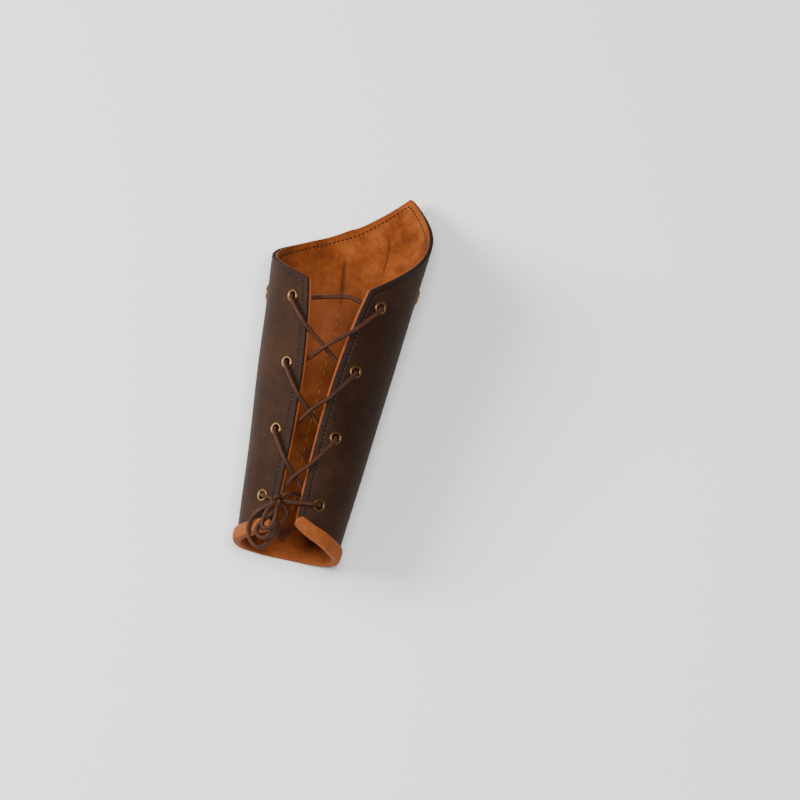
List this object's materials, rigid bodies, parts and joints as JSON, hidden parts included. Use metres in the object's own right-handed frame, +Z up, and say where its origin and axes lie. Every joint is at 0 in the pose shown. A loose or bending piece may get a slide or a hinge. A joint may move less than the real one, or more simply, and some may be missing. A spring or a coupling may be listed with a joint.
{
  "type": "laced leather forearm bracer",
  "caption": "Dark brown leather bracer with a pointed elbow end, a tan suede lining that rolls out over the wrist, brass eyelets, copper rivets and a tied round lace",
  "frame": {"origin": "middle of the box round the leather and metal pieces, cords left out, on the surface that the bracer lies on", "axes": "+Y from the wrist opening to the elbow opening, +Z straight up out of the laced side, +X across, to the right when seen from above with the wrist end near"},
  "size_m": [0.1012, 0.2701, 0.0905],
  "materials": {
    "dark_leather": "waxed, lightly worn, satin",
    "tan_suede": "soft suede, mottled",
    "aged_brass": "aged, half dull",
    "copper_brass": "polished, warm copper tone",
    "brown_cord": "round braided cord, waxed"
  },
  "bodies": {
    "root": {"shell": "dark_leather", "lining": "tan_suede", "eyelet_left_1": "aged_brass", "eyelet_left_2": "aged_brass", "eyelet_left_3": "aged_brass", "eyelet_left_4": "aged_brass", "eyelet_right_1": "aged_brass", "eyelet_right_2": "aged_brass", "eyelet_right_3": "aged_brass", "eyelet_right_4": "aged_brass", "rivet_short_side": "copper_brass", "rivet_peak": "copper_brass", "rivet_long_side": "copper_brass", "rivet_far_side": "copper_brass", "lace": "brown_cord", "bow_knot": "brown_cord", "bow_loop_outer": "brown_cord", "bow_loop_inner": "brown_cord", "bow_tail_long": "brown_cord", "bow_tail_short": "brown_cord"}
  },
  "joints": []
}
